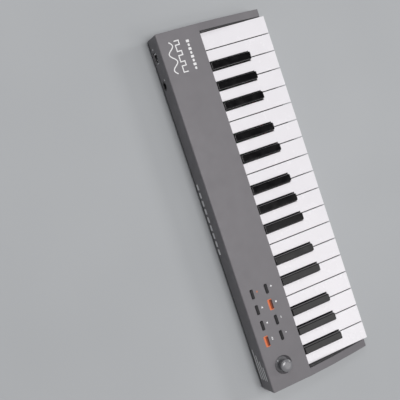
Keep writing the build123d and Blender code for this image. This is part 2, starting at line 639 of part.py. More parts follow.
def joystick_yoke():
    """A ring that turns about X in the can and carries the stick's cross pin."""
    ring = block((-4.4, 4.4), (-3.0, 3.0), (-1.5, 1.5))
    ring -= block((-3.0, 3.0), (-1.75, 1.75), (-2, 2))
    ring += rod_along_x((-7.8, -4.0), 0, 0, PIVOT_PIN) + rod_along_x((4.0, 6.4), 0, 0, PIVOT_PIN)
    return at_stick(ring - rod_along_y(0, (-4, 4), 0, 0.65))


def joystick_bail():
    """A slotted arch that turns about Y and follows the stick sideways."""
    arch = rod_along_x((-2.4, 2.4), 0, 0, 4.8) - rod_along_x((-3, 3), 0, 0, 4.0)
    arch -= block((-3, 3), (-6, 6), (-6, -1.0))
    arch -= block((-SHAFT_RADIUS - 0.2, SHAFT_RADIUS + 0.2), (-3.1, 3.1), (0, 6))
    arch += rod_along_y(0, (-7.8, -4.2), 0, PIVOT_PIN) + rod_along_y(0, (4.2, 6.4), 0, PIVOT_PIN)
    return at_stick(arch)


def joystick_stick():
    """The steel stick with its cross pin."""
    shaft = post(0, 0, (-3.2, 14.6), SHAFT_RADIUS)
    return at_stick(shaft + rod_along_y(0, (-2.9, 2.9), 0, 0.6))


def joystick_cap():
    """A shroud dome, a neck and a round thumb cap, pressed on the stick in one moulding."""
    shroud = Sphere(DOME_RADIUS) - Sphere(DOME_RADIUS - 1.0)
    skirt_height = DOME_RADIUS * cos(radians(SHROUD_SKIRT))
    shroud -= block((-20, 20), (-20, 20), (-20, skirt_height))
    thumb = post(0, 0, (CAP_UNDER, CAP_TOP), CAP_RADIUS)
    thumb = fillet(thumb.faces().sort_by(Axis.Z)[-1].edges(), 2.4)
    thumb = fillet(thumb.faces().sort_by(Axis.Z)[0].edges(), 1.4)
    neck = post(0, 0, (DOME_RADIUS - 2.4, CAP_UNDER + 0.5), 3.2)
    return at_stick(shroud + neck + thumb - post(0, 0, (0, 14.8), SHAFT_RADIUS + 0.03))


# ---------------------------------------------------------------- write every node

os.makedirs("parts", exist_ok=True)

for key in WHITE_KEYS:
    save(key["name"], white_key(key))
for key in BLACK_KEYS:
    save(key["name"], black_key(key))
for name, x, y in button_places():
    save(name, button(x, y))

NODES = {
    "top_cover": top_cover,
    "bottom_cover": bottom_cover,
    "rubber_feet": rubber_feet,
    "case_screws": case_screws,
    "key_frame": key_frame,
    "key_pivot_rod": key_pivot_rod,
    "key_spring_comb": key_spring_comb,
    "key_stop_felt": key_stop_felt,
    "contact_rubber": contact_rubber,
    "contact_board": contact_board,
    "control_boards": control_boards,
    "main_board": main_board,
    "usb_socket": usb_socket,
    "pedal_jack": pedal_jack,
    "ribbon_cables": ribbon_cables,
    "joystick_housing": joystick_housing,
    "joystick_yoke": joystick_yoke,
    "joystick_bail": joystick_bail,
    "joystick_stick": joystick_stick,
    "joystick_cap": joystick_cap,
}
for name, make in NODES.items():
    save(name, make())
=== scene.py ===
import math

import bmesh
import bpy
from mathutils import Matrix, Vector


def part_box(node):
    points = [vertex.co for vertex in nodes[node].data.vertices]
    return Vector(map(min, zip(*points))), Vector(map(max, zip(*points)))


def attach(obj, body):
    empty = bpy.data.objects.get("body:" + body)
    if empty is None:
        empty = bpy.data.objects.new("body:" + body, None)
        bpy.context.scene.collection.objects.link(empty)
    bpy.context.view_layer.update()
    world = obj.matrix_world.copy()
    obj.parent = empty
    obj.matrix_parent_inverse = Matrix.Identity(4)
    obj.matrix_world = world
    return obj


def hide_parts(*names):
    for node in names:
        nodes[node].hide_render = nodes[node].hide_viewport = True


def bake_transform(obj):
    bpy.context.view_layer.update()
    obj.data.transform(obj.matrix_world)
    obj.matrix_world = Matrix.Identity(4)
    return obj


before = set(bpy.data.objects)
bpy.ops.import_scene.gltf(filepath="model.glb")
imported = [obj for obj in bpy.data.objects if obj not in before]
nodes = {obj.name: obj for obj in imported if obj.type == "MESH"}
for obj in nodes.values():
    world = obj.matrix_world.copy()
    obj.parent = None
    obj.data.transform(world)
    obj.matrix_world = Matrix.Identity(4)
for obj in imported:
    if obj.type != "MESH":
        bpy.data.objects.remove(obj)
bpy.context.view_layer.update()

MM = 0.001

# ------------------------------------------------------------------ camera, table top and light
# The keyboard lies flat on a pale table top and is seen from above its rear edge, turned so that the low
# keys are nearest. A broad soft box hangs over it. Weaker ones stand in front, front left and rear right.

CAMERA_PLACE = Vector((0.0705, 0.3304, 0.7438))
CAMERA_RIGHT = Vector((-0.31615, -0.88595, 0.33933))
CAMERA_UP = Vector((0.94654, -0.31871, 0.04977))
CAMERA_LENS = 66.95
CAMERA_NEAR = 0.01

camera_data = bpy.data.cameras.new("camera")
camera_data.lens = CAMERA_LENS
camera_data.clip_start = CAMERA_NEAR
camera = bpy.data.objects.new("camera", camera_data)
axes = Matrix((CAMERA_RIGHT, CAMERA_UP, CAMERA_RIGHT.cross(CAMERA_UP))).transposed()
camera.matrix_world = Matrix.Translation(CAMERA_PLACE) @ axes.to_4x4()
bpy.context.scene.collection.objects.link(camera)
bpy.context.scene.camera = camera
bpy.context.scene.view_settings.view_transform = "Standard"


SOFT_WHITE = (1.0, 0.985, 0.99)
SOFT_WARM = (1.0, 0.985, 0.98)
SOFT_COOL = (0.97, 0.98, 1.0)
ROOM_COLOUR = (0.93, 0.95, 1.0, 1.0)
ROOM_STRENGTH = 0.10


def lamp(name, place, width, watts, colour):
    """A square soft box at place, turned towards the middle of the table top."""
    data = bpy.data.lights.new(name, "AREA")
    data.size = width
    data.energy = watts
    data.color = colour
    box = bpy.data.objects.new(name, data)
    box.location = place
    box.rotation_euler = (Vector() - Vector(place)).to_track_quat("-Z", "Y").to_euler()
    bpy.context.scene.collection.objects.link(box)


lamp("top_softbox", (0.0, -0.05, 2.8), width=1.3, watts=53.0, colour=SOFT_WHITE)
lamp("front_softbox", (0.3, -2.5, 1.9), width=0.7, watts=19.0, colour=SOFT_WARM)
lamp("left_softbox", (-1.1, -1.2, 2.3), width=1.1, watts=8.0, colour=SOFT_WARM)
lamp("right_softbox", (1.1, 0.75, 1.85), width=0.45, watts=5.5, colour=SOFT_COOL)

world = bpy.data.worlds.new("room")
world.use_nodes = True
background = world.node_tree.nodes["Background"]
background.inputs["Color"].default_value = ROOM_COLOUR
background.inputs["Strength"].default_value = ROOM_STRENGTH
bpy.context.scene.world = world


def node_material(name):
    """A new material with its nodes, links and main shader."""
    material = bpy.data.materials.new(name)
    material.use_nodes = True
    tree = material.node_tree
    return material, tree.nodes, tree.links, tree.nodes["Principled BSDF"]


def noise(nodes_of, links_of, size, detail=2.0):
    """Soft random patches about size metres across, fixed to the piece."""
    place = nodes_of.new("ShaderNodeTexCoord")
    patches = nodes_of.new("ShaderNodeTexNoise")
    patches.inputs["Scale"].default_value = 1.0 / size
    patches.inputs["Detail"].default_value = detail
    links_of.new(place.outputs["Object"], patches.inputs["Vector"])
    return patches.outputs["Fac"]


NOISE_LOW = 0.3           # the noise stays mostly between these
NOISE_HIGH = 0.7


def spread(nodes_of, links_of, source, low, high):
    """A value between low and high that follows the patches."""
    span = nodes_of.new("ShaderNodeMapRange")
    span.inputs["From Min"].default_value = NOISE_LOW
    span.inputs["From Max"].default_value = NOISE_HIGH
    span.inputs["To Min"].default_value = low
    span.inputs["To Max"].default_value = high
    links_of.new(source, span.inputs["Value"])
    return span.outputs["Result"]


def two_tone(nodes_of, links_of, source, first, second):
    """A colour between two others that follows the patches."""
    blend = nodes_of.new("ShaderNodeMix")
    blend.data_type = "RGBA"
    blend.inputs[6].default_value = (*first, 1.0)
    blend.inputs[7].default_value = (*second, 1.0)
    links_of.new(source, blend.inputs[0])
    return blend.outputs[2]


TABLE_HALF = 4
TABLE_SHADE = (0.40, 0.415, 0.425)
TABLE_PALE = (0.43, 0.445, 0.455)
TABLE_PATCHES = 0.25      # metres across

table_top, nodes_of, links_of, shader = node_material("table_top")
shade = spread(nodes_of, links_of, noise(nodes_of, links_of, TABLE_PATCHES), 0.0, 1.0)
pale = two_tone(nodes_of, links_of, shade, TABLE_SHADE, TABLE_PALE)
links_of.new(pale, shader.inputs["Base Color"])
shader.inputs["Roughness"].default_value = 0.85
floor_mesh = bpy.data.meshes.new("table_top")
corners = [(x * TABLE_HALF, y * TABLE_HALF, 0) for x, y in ((-1, -1), (1, -1), (1, 1), (-1, 1))]
floor_mesh.from_pydata(corners, [], [(0, 1, 2, 3)])
floor_mesh.materials.append(table_top)
floor = bpy.data.objects.new("table_top", floor_mesh)
bpy.context.scene.collection.objects.link(floor)


# ------------------------------------------------------------------ top cover
# One injection moulding in grey ABS: the control deck, its rear and end walls, and the cheeks that slope
# down beside the keys. The skin has a fine even grain and the edges polish with use.

EDGE_FLAT = 0.97          # agreement of the softened and the true face direction where the edge colour starts
EDGE_SHARP = 0.75         # and where it is full
GAP_SHUT = 0.25           # openness of a face where the painted gap shade is full
GAP_OPEN = 0.75           # and where there is none
GAP_SHADE_TONE = 0.12          # of the plastic's own colour
WORN_SHARE = 1.5          # a worn edge is lighter by this share of the colour
WORN_LIFT = 0.02          # and by this much more
CLOUD = 25 * MM
SMEAR = 9 * MM
SHEEN_SPREAD = 0.05
GRAIN_STRENGTH = 0.6


def moulding(
    name, colour, roughness, mottle=0.03, grain=0.35 * MM, depth=0.02 * MM,
    edge=0.25 * MM, edge_wear_and_painted_light=0.35, gap_shade=0.0, edge_wear_and_painted_light_colour=None, gloss=0.5,
):
    """Moulded plastic: faint mottling, an uneven sheen, a fine grain, edges mixed towards an edge colour
    (lighter wear unless a painted edge shade or highlight is passed), and painted shade darkening its gaps.
    """
    material, nodes_of, links_of, shader = node_material(name)
    cloud = spread(nodes_of, links_of, noise(nodes_of, links_of, CLOUD, 4.0), 0.0, 1.0)
    dark = [part * (1 - mottle) for part in colour]
    light = [min(1.0, part * (1 + mottle)) for part in colour]
    body_colour = two_tone(nodes_of, links_of, cloud, dark, light)

    soft_edge = nodes_of.new("ShaderNodeBevel")
    soft_edge.samples = 4
    soft_edge.inputs["Radius"].default_value = edge
    surface = nodes_of.new("ShaderNodeNewGeometry")
    turn = nodes_of.new("ShaderNodeVectorMath")
    turn.operation = "DOT_PRODUCT"
    links_of.new(soft_edge.outputs["Normal"], turn.inputs[0])
    links_of.new(surface.outputs["Normal"], turn.inputs[1])
    edge_share = nodes_of.new("ShaderNodeMapRange")
    edge_share.inputs["From Min"].default_value = EDGE_FLAT
    edge_share.inputs["From Max"].default_value = EDGE_SHARP
    edge_share.inputs["To Max"].default_value = edge_wear_and_painted_light
    links_of.new(turn.outputs["Value"], edge_share.inputs["Value"])
    # The edge colour: lighter wear by default. The keys pass a painted shade for the white ones and a
    # painted highlight for the black ones.
    edge_wear_and_painted_light_colour = edge_wear_and_painted_light_colour or [min(1.0, part * WORN_SHARE + WORN_LIFT) for part in colour]
    edge_mixed = nodes_of.new("ShaderNodeMix")
    edge_mixed.data_type = "RGBA"
    edge_mixed.inputs[7].default_value = (*edge_wear_and_painted_light_colour, 1.0)
    links_of.new(edge_share.outputs["Result"], edge_mixed.inputs[0])
    links_of.new(body_colour, edge_mixed.inputs[6])
    skin = edge_mixed.outputs[2]
    # Painted shade: ambient occlusion darkens the colour in narrow gaps and recesses, where shade falls.
    if gap_shade:
        gaps = nodes_of.new("ShaderNodeAmbientOcclusion")
        gaps.samples = 6
        gaps.inputs["Distance"].default_value = gap_shade
        open_face = nodes_of.new("ShaderNodeMapRange")
        open_face.inputs["From Min"].default_value = GAP_SHUT
        open_face.inputs["From Max"].default_value = GAP_OPEN
        links_of.new(gaps.outputs["AO"], open_face.inputs["Value"])
        gap_shaded = nodes_of.new("ShaderNodeMix")
        gap_shaded.data_type = "RGBA"
        gap_shaded.inputs[6].default_value = (*[part * GAP_SHADE_TONE for part in colour], 1.0)
        links_of.new(open_face.outputs["Result"], gap_shaded.inputs[0])
        links_of.new(skin, gap_shaded.inputs[7])
        skin = gap_shaded.outputs[2]
    links_of.new(skin, shader.inputs["Base Color"])

    shader.inputs["Specular IOR Level"].default_value = gloss
    smear = noise(nodes_of, links_of, SMEAR, 3.0)
    sheen = spread(nodes_of, links_of, smear, roughness - SHEEN_SPREAD, roughness + SHEEN_SPREAD)
    links_of.new(sheen, shader.inputs["Roughness"])

    bump = nodes_of.new("ShaderNodeBump")
    bump.inputs["Strength"].default_value = GRAIN_STRENGTH
    bump.inputs["Distance"].default_value = depth
    links_of.new(noise(nodes_of, links_of, grain, 2.0), bump.inputs["Height"])
    links_of.new(soft_edge.outputs["Normal"], bump.inputs["Normal"])
    links_of.new(bump.outputs["Normal"], shader.inputs["Normal"])
    return material


def cover(node, material):
    """Gives a CAD node its finish."""
    mesh = nodes[node].data
    mesh.materials.clear()
    mesh.materials.append(material)


DECK_GREY = (0.153, 0.146, 0.156)
# The deck's colour is darkened near other surfaces, in its gaps and recesses: painted shade.
cover("top_cover", moulding("deck_plastic", DECK_GREY, 0.5, gap_shade=1.6 * MM))
deck_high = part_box("top_cover")[1]
deck_z = deck_high.z
rear_y = deck_high.y


# ------------------------------------------------------------------ printed marks
# Pad-printed white ink, a few hundredths of a millimetre thick. A sine wave, a pulse wave and a row of
# blocks stand on the deck's right end. The rear panel has bars, stripes and a sign beside each socket.

INK = 0.03 * MM
INK_WHITE = (0.80, 0.80, 0.80)
INK_THIN = 0.93           # of the ink's colour, where it is laid thin
INK_PATCHES = 0.6 * MM

ink_white, nodes_of, links_of, shader = node_material("white_ink")
patchy = spread(nodes_of, links_of, noise(nodes_of, links_of, INK_PATCHES), 0.0, 1.0)
ink_tone = two_tone(nodes_of, links_of, patchy, [part * INK_THIN for part in INK_WHITE], INK_WHITE)
links_of.new(ink_tone, shader.inputs["Base Color"])
shader.inputs["Roughness"].default_value = 0.55


def on_deck(x, y, lift):
    """A point above the deck."""
    return Vector((x, y, deck_z + lift))


def on_rear(x, z, lift):
    """A point behind the rear panel."""
    return Vector((x, rear_y + lift, z))


def printed(name, shapes, place, material, thick=INK):
    """Flat shapes of (across, up) corners in millimetres, laid on a face and given a thickness."""
    mesh = bpy.data.meshes.new(name)
    made = bmesh.new()
    for shape in shapes:
        base = [made.verts.new(place(u * MM, v * MM, 0.0)) for u, v in shape]
        top = [made.verts.new(place(u * MM, v * MM, thick)) for u, v in shape]
        made.faces.new(top)
        made.faces.new(base[::-1])
        for near in range(len(shape)):
            far = (near + 1) % len(shape)
            made.faces.new((base[near], base[far], top[far], top[near]))
    bmesh.ops.recalc_face_normals(made, faces=made.faces)
    made.to_mesh(mesh)
    made.free()
    mesh.materials.append(material)
    piece = bpy.data.objects.new(name, mesh)
    bpy.context.scene.collection.objects.link(piece)
    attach(piece, "case")
    return piece


def rounded(u, v, length, height, radius, steps=5):
    """Corners of an upright rectangle with round corners."""
    corners = []
    for quarter, (side, rise) in enumerate(((1, 1), (-1, 1), (-1, -1), (1, -1))):
        centre_u = u + side * (length / 2 - radius)
        centre_v = v + rise * (height / 2 - radius)
        for step in range(steps):
            angle = math.pi / 2 * (quarter + step / (steps - 1))
            corners.append((centre_u + radius * math.cos(angle), centre_v + radius * math.sin(angle)))
    return corners


def disc(u, v, radius, steps=24):
    """Corners of a round dot."""
    turn = 2 * math.pi / steps
    return [(u + radius * math.cos(turn * n), v + radius * math.sin(turn * n)) for n in range(steps)]


def ribbon(points, width):
    """A line of that width along the points, as one four-sided shape per step."""
    edges = []
    for number, (u, v) in enumerate(points):
        before = points[max(0, number - 1)]
        after = points[min(len(points) - 1, number + 1)]
        along_u, along_v = after[0] - before[0], after[1] - before[1]
        half = width / 2 / math.hypot(along_u, along_v)
        edges.append(((u - along_v * half, v + along_u * half), (u + along_v * half, v - along_u * half)))
    return [[left[0], right[0], right[1], left[1]] for left, right in zip(edges, edges[1:])]


WAVE_LEFT = 150.6
WAVE_RIGHT = 183.6
WAVE_LINE = 1.15
SINE_MIDDLE = 53.0
SINE_HEIGHT = 3.2
SINE_TURNS = 2
SINE_STEPS = 72
PULSE_LOW = 42.0
PULSE_HIGH = 46.6
PULSE_PITCH = 11.0
PULSE_SHARE = 0.6         # of a pulse's pitch spent high
PULSES = 3
PULSE_CORNER = 0.01
sine = []
for step in range(SINE_STEPS + 1):
    part = step / SINE_STEPS
    height = SINE_HEIGHT * math.sin(2 * math.pi * SINE_TURNS * part)
    sine.append((WAVE_LEFT + (WAVE_RIGHT - WAVE_LEFT) * part, SINE_MIDDLE + height))
pulse = []
level = (PULSE_LOW + PULSE_HIGH) / 2
rise = PULSE_HIGH - PULSE_LOW + WAVE_LINE
for number in range(PULSES):
    left = WAVE_LEFT + PULSE_PITCH * number
    edge = left + PULSE_PITCH * PULSE_SHARE
    high_run = edge - left - WAVE_LINE
    low_run = left + PULSE_PITCH - edge - WAVE_LINE
    low_middle = (edge + left + PULSE_PITCH) / 2
    pulse.append(rounded((left + edge) / 2, PULSE_HIGH, high_run, WAVE_LINE, PULSE_CORNER))
    pulse.append(rounded(low_middle, PULSE_LOW, low_run, WAVE_LINE, PULSE_CORNER))
    pulse.append(rounded(left, level, WAVE_LINE, rise, PULSE_CORNER))
    pulse.append(rounded(edge, level, WAVE_LINE, rise, PULSE_CORNER))
pulse.append(rounded(WAVE_RIGHT, level, WAVE_LINE, rise, PULSE_CORNER))
printed("print_waves", ribbon(sine, WAVE_LINE) + pulse, on_deck, ink_white)

BLOCKS = 8
BLOCK_PITCH = 4.1
BLOCK_LEFT = 151.6
BLOCK_ROW = 32.4
BLOCK_LENGTH = 2.7
BLOCK_TALL = 3.4
BLOCK_SHORT = 2.2
BLOCK_CORNER = 0.5
blocks = []
for n in range(BLOCKS):
    tall = BLOCK_TALL if n % 2 else BLOCK_SHORT
    blocks.append(rounded(BLOCK_LEFT + BLOCK_PITCH * n, BLOCK_ROW, BLOCK_LENGTH, tall, BLOCK_CORNER))
printed("print_blocks", blocks, on_deck, ink_white)

BARS = 9
BAR_LEFT = -38.5
BAR_PITCH = 9.0
BAR_ROW = 9.0             # height of their middles above the table
BAR_LENGTH = 6.4
BAR_HEIGHT = 4.6
BAR_CORNER = 1.2
bars = [rounded(BAR_LEFT + BAR_PITCH * n, BAR_ROW, BAR_LENGTH, BAR_HEIGHT, BAR_CORNER) for n in range(BARS)]
printed("print_rear_bars", bars, on_rear, ink_white)

STRIPES = 4               # each shorter than the one below it
STRIPE_LEFT = -166.0
STRIPE_STEP = -3.0
STRIPE_LOW = 9.0
STRIPE_PITCH = 4.8
STRIPE_LENGTH = 34.0
STRIPE_SHORTENING = 6.0
STRIPE_LINE = 1.9
STRIPE_CORNER = 0.9
stripes = []
for n in range(STRIPES):
    length = STRIPE_LENGTH - STRIPE_SHORTENING * n
    across, up = STRIPE_LEFT + STRIPE_STEP * n, STRIPE_LOW + STRIPE_PITCH * n
    stripes.append(rounded(across, up, length, STRIPE_LINE, STRIPE_CORNER))
printed("print_rear_stripes", stripes, on_rear, ink_white)

USB_SIGN = (183.6, 11.5, 1.8, 2.6, 0.4)
JACK_SIGN = (149.9, 16.4, 1.0)
port_signs = [rounded(*USB_SIGN), disc(*JACK_SIGN)]
printed("print_port_signs", port_signs, on_rear, ink_white)


# ------------------------------------------------------------------ bottom cover, feet and screws
# The tray is moulded in black ABS. Four rubber feet are glued into its recesses, and zinc-plated
# self-tapping screws come up through it into the posts of the top cover and the key frame.

TRAY_BLACK = (0.030, 0.030, 0.033)
FOOT_BLACK = (0.018, 0.018, 0.018)
TARNISH = 4 * MM
TARNISH_TONE = 0.85
MARKS = 0.48 * MM
MARK_STRENGTH = 0.3
MARK_DEPTH = 0.005 * MM
MARK_SMOOTH = 0.08        # how much smoother the marks are than the metal,
MARK_DULL = 0.1           # and how much duller
ZINC = (0.62, 0.62, 0.64)
cover("bottom_cover", moulding("tray_plastic", TRAY_BLACK, 0.55, grain=0.5 * MM, depth=0.03 * MM))
cover("rubber_feet", moulding("foot_rubber", FOOT_BLACK, 0.8, grain=0.3 * MM, depth=0.03 * MM))


def metal(name, colour, roughness):
    """Bare metal with fine handling marks."""
    material, nodes_of, links_of, shader = node_material(name)
    tarnish = spread(nodes_of, links_of, noise(nodes_of, links_of, TARNISH, 4.0), 0.0, 1.0)
    tone = two_tone(nodes_of, links_of, tarnish, [part * TARNISH_TONE for part in colour], colour)
    links_of.new(tone, shader.inputs["Base Color"])
    shader.inputs["Metallic"].default_value = 1.0
    marks = noise(nodes_of, links_of, MARKS, 5.0)
    dull = spread(nodes_of, links_of, marks, roughness - MARK_SMOOTH, roughness + MARK_DULL)
    links_of.new(dull, shader.inputs["Roughness"])
    bump = nodes_of.new("ShaderNodeBump")
    bump.inputs["Strength"].default_value = MARK_STRENGTH
    bump.inputs["Distance"].default_value = MARK_DEPTH
    links_of.new(marks, bump.inputs["Height"])
    links_of.new(bump.outputs["Normal"], shader.inputs["Normal"])
    return material


zinc = metal("zinc_plate", ZINC, 0.32)
cover("case_screws", zinc)


# ------------------------------------------------------------------ keys
# Each key is a hollow moulding in gloss ABS that turns on one steel rod under the deck. The white ones are a
# cool white. The black ones are taller, tapered, and have a sloping nose.

KEY_WHITE = (0.83, 0.815, 0.84)
KEY_BLACK = (0.0015, 0.0012, 0.0017)
WHITE_EDGE_SHADE = (0.30, 0.29, 0.31)
BLACK_EDGE_HIGHLIGHT = (0.06, 0.057, 0.062)
# White keys: their edges are mixed towards grey and their narrow gaps darkened, painted shade between the
# keys.
white_plastic = moulding(
    "white_key_gloss", KEY_WHITE, 0.24, mottle=0.012, grain=3 * MM, depth=0.01 * MM,
    edge=0.35 * MM, edge_wear_and_painted_light=0.8, gap_shade=1.5 * MM, edge_wear_and_painted_light_colour=WHITE_EDGE_SHADE,
)
# Black keys: their edges are mixed towards a lighter grey, a painted highlight round the bevels of the tops.
black_plastic = moulding(
    "black_key_gloss", KEY_BLACK, 0.16, mottle=0.15, grain=0.4 * MM, depth=0.004 * MM,
    edge=0.5 * MM, edge_wear_and_painted_light=0.8, edge_wear_and_painted_light_colour=BLACK_EDGE_HIGHLIGHT, gloss=0.4,
)
for name in nodes:
    if "_white_" in name:
        cover(name, white_plastic)
    elif "_black_" in name:
        cover(name, black_plastic)


# ------------------------------------------------------------------ key works
# Under the keys: a black glass-filled frame, a ground steel rod, red stop felt, and a strip of spring
# steel whose fingers bend with the keys. Grey silicone strips on the contact board have a dome per key.

FRAME_BLACK = (0.028, 0.028, 0.030)
ROD_STEEL = (0.66, 0.66, 0.67)
FELT_DARK = (0.22, 0.012, 0.012)
FELT_RED = (0.42, 0.03, 0.028)
FELT_FIBRES = 0.25 * MM
cover("key_frame", moulding("frame_plastic", FRAME_BLACK, 0.62, grain=0.25 * MM, depth=0.03 * MM))
cover("key_pivot_rod", metal("ground_rod", ROD_STEEL, 0.2))

felt, nodes_of, links_of, shader = node_material("stop_felt")
fibres = spread(nodes_of, links_of, noise(nodes_of, links_of, FELT_FIBRES, 6.0), 0.0, 1.0)
links_of.new(two_tone(nodes_of, links_of, fibres, FELT_DARK, FELT_RED), shader.inputs["Base Color"])
shader.inputs["Roughness"].default_value = 0.95
shader.inputs["Sheen Weight"].default_value = 0.6
cover("key_stop_felt", felt)


def laid_at(height):
    """Lays flat shapes level, with their underside at a height in metres."""
    def place(x, y, up):
        return Vector((x, y, height + up))
    return place


def leaves(name, runs, width, thick, material):
    """Bent leaves of sheet metal. A run is (x, heights at even steps along y, first y, last y), in mm."""
    mesh = bpy.data.meshes.new(name)
    made = bmesh.new()
    for x, heights, first, last in runs:
        loops = []
        for number, height in enumerate(heights):
            y = first + (last - first) * number / (len(heights) - 1)
            corners = ((-1, 0), (1, 0), (1, 1), (-1, 1))
            loops.append([
                made.verts.new((Vector((x + side * width / 2, y, height + up * thick)) * MM))
                for side, up in corners
            ])
        for near, far in zip(loops, loops[1:]):
            for n in range(4):
                made.faces.new((near[n], near[(n + 1) % 4], far[(n + 1) % 4], far[n]))
        made.faces.new(loops[0][::-1])
        made.faces.new(loops[-1])
    bmesh.ops.recalc_face_normals(made, faces=made.faces)
    made.to_mesh(mesh)
    made.free()
    mesh.materials.append(material)
    piece = bpy.data.objects.new(name, mesh)
    bpy.context.scene.collection.objects.link(piece)
    return piece


def turned(name, outline, centre, material, segments=72):
    """A piece of revolution about an upright axis, from (radius, height) points in millimetres."""
    mesh = bpy.data.meshes.new(name)
    made = bmesh.new()
    rings = []
    for radius, height in outline:
        if radius == 0:
            rings.append([made.verts.new(centre + Vector((0, 0, height * MM)))])
            continue
        rings.append([
            made.verts.new(centre + Vector((
                radius * MM * math.cos(2 * math.pi * n / segments),
                radius * MM * math.sin(2 * math.pi * n / segments),
                height * MM,
            )))
            for n in range(segments)
        ])
    for lower, upper in zip(rings, rings[1:]):
        for n in range(segments):
            corners = [lower[n % len(lower)], lower[(n + 1) % segments % len(lower)]]
            corners += [upper[(n + 1) % segments % len(upper)], upper[n % len(upper)]]
            unique = list(dict.fromkeys(corners))
            if len(unique) > 2:
                made.faces.new(unique)
    bmesh.ops.recalc_face_normals(made, faces=made.faces)
    for face in made.faces:
        face.smooth = True
    made.to_mesh(mesh)
    made.free()
    mesh.materials.append(material)
    piece = bpy.data.objects.new(name, mesh)
    bpy.context.scene.collection.objects.link(piece)
    return piece


SPRING_STEEL = (0.42, 0.42, 0.44)
SPRING_THICK = 0.3
STRIP_FRONT = 11.5        # front edge of the strip, where the fingers leave it
STRIP_CORNER = 1.0
FINGER_ROOT = 12.6        # a finger starts inside the strip
FINGER_BEND = 11.0        # and rises from here
FINGER_WIDTH = 3.0
FINGER_TIP = 2.0          # length of the flat tip under a key
FINGER_STEP = 0.9         # length between its folds
spring_steel = metal("spring_steel", SPRING_STEEL, 0.3)
comb_low, comb_high = [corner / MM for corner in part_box("key_spring_comb")]
comb = nodes["key_spring_comb"].data
tips = [v.co.x / MM for v in comb.vertices if v.co.y / MM < comb_low.y + 0.1]
finger_sides = sorted({round(x, 2) for x in tips})
key_middles = [sum(pair) / 2 for pair in zip(finger_sides[::2], finger_sides[1::2])]

strip_middle = (STRIP_FRONT + comb_high.y) / 2
strip_width = comb_high.y - STRIP_FRONT
strip = rounded(0, strip_middle, comb_high.x - comb_low.x, strip_width, STRIP_CORNER)
spring_strip = printed("spring_strip", [strip], laid_at(comb_low.z * MM), spring_steel, SPRING_THICK * MM)
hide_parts("key_spring_comb")

SILICONE_GREY = (0.33, 0.33, 0.34)
DOME_BASE = 0.8           # thickness of the silicone strips under the domes
DOME_SKIRT = 3.1          # radius of a dome's foot
DOME_HOLLOW = 2.4         # radius of the hollow's mouth, and its height
DOME_CEILING = 1.2        # radius of its flat ceiling
DOME_LIFT = 0.05          # keeps a dome's foot clear of the board
DOME_ROOT = (2.8, 0.15)   # radius of a dome where its wall starts, and how far above the strip
DOME_SHOULDER = (2.1, 0.4)      # radius and how far below the top
DOME_RIM = (1.9, 0.1)
DOME_TOP = 1.7            # radius of the flat top
DOME_SIDES = 24
STRIP_BORDER = 1.5        # of silicone round the outermost domes
OCTAVE = 12
silicone = moulding("silicone", SILICONE_GREY, 0.6, edge_wear_and_painted_light=0.0)
rubber_low, rubber_high = [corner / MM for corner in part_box("contact_rubber")]
rubber_y = (rubber_low.y + rubber_high.y) / 2
rubber_depth = rubber_high.y - rubber_low.y
sheets = []
for first in range(0, len(key_middles), OCTAVE):
    octave = key_middles[first:first + OCTAVE]
    length = octave[-1] - octave[0] + 2 * (DOME_SKIRT + STRIP_BORDER)
    sheets.append(rounded((octave[0] + octave[-1]) / 2, rubber_y, length, rubber_depth, STRIP_BORDER))
rubber_sheets = printed("rubber_strips", sheets, laid_at(rubber_low.z * MM), silicone, DOME_BASE * MM)
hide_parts("contact_rubber")

dome_height = rubber_high.z - rubber_low.z
dome_inside = [(0, DOME_HOLLOW), (DOME_CEILING, DOME_HOLLOW), (DOME_HOLLOW, DOME_LIFT)]
dome_outside = [
    (DOME_SKIRT, DOME_LIFT), (DOME_SKIRT, DOME_BASE), (DOME_ROOT[0], DOME_BASE + DOME_ROOT[1]),
    (DOME_SHOULDER[0], dome_height - DOME_SHOULDER[1]), (DOME_RIM[0], dome_height - DOME_RIM[1]),
    (DOME_TOP, dome_height), (0, dome_height),
]
rise = comb_high.z - comb_low.z - SPRING_THICK
tip_y = comb_low.y + FINGER_TIP
finger_length = FINGER_ROOT - comb_low.y
steps = round(finger_length / FINGER_STEP)
climb = []
for n in range(steps + 1):
    y = FINGER_ROOT - finger_length * n / steps
    climb.append(comb_low.z + rise * min(1, max(0, (FINGER_BEND - y) / (FINGER_BEND - tip_y))))
for number, x in enumerate(key_middles, 1):
    run = (x, climb, FINGER_ROOT, comb_low.y)
    finger = leaves(f"spring_finger_{number:02d}", [run], FINGER_WIDTH, SPRING_THICK, spring_steel)
    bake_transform(finger)

    foot = Vector((x, rubber_y, rubber_low.z)) * MM
    dome_outline = dome_inside + dome_outside
    dome = turned(f"contact_dome_{number:02d}", dome_outline, foot, silicone, DOME_SIDES)
    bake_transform(dome)


BOARD_GREEN = (0.012, 0.12, 0.045, 1.0)
BOARD_SHADE = (0.010, 0.10, 0.038, 1.0)
TRACK_GREEN = (0.03, 0.20, 0.075, 1.0)
TRACKS_PER_METRE = 160.0
TRACK_WIDTH = 0.03
PART_BLACK = (0.012, 0.012, 0.013, 1.0)
BOARD_SMEAR = 6 * MM
BOARD_SHINE = (0.25, 0.4)


